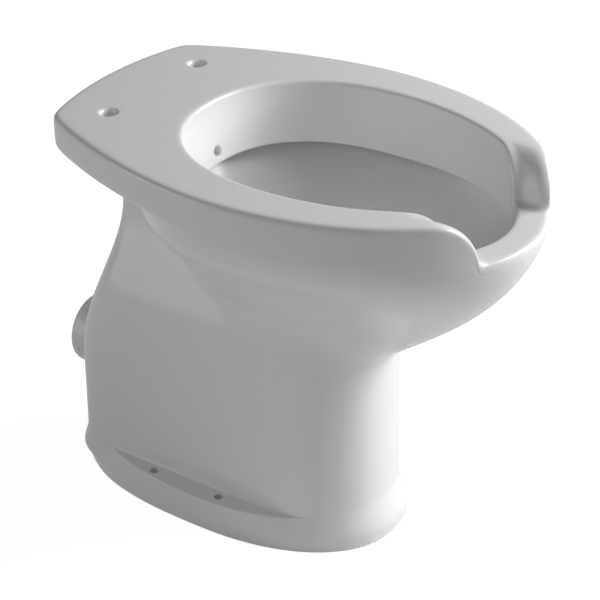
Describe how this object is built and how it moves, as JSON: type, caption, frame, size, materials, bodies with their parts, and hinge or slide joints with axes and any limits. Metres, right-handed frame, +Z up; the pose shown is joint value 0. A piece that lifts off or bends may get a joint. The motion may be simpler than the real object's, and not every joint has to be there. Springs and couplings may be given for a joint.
{
  "type": "accessible toilet pan",
  "caption": "Tall floor-standing ceramic toilet pan with an open-front rim, rear seat deck, fixing ledges at the foot, and a horizontal rear outlet.",
  "frame": {"origin": "on the floor, in the middle plane, halfway between the front lip and the outlet's end", "axes": "+Z up, -Y towards the user at the front cut-out, +Y towards the wall and outlet, +X to the right seen from the front"},
  "size_m": [0.375, 0.5743, 0.46],
  "materials": {
    "white_glaze": "gloss",
    "inner_glaze": "gloss"
  },
  "bodies": {
    "root": {"rim_and_deck": "white_glaze", "body_shell": "white_glaze", "foot_ring": "white_glaze", "bowl_basin": "white_glaze", "trap_inlet_bend": "inner_glaze", "trap_weir_bend": "inner_glaze", "outlet_spigot": "white_glaze", "flush_chamber": "inner_glaze", "flush_inlet": "white_glaze"}
  },
  "joints": []
}
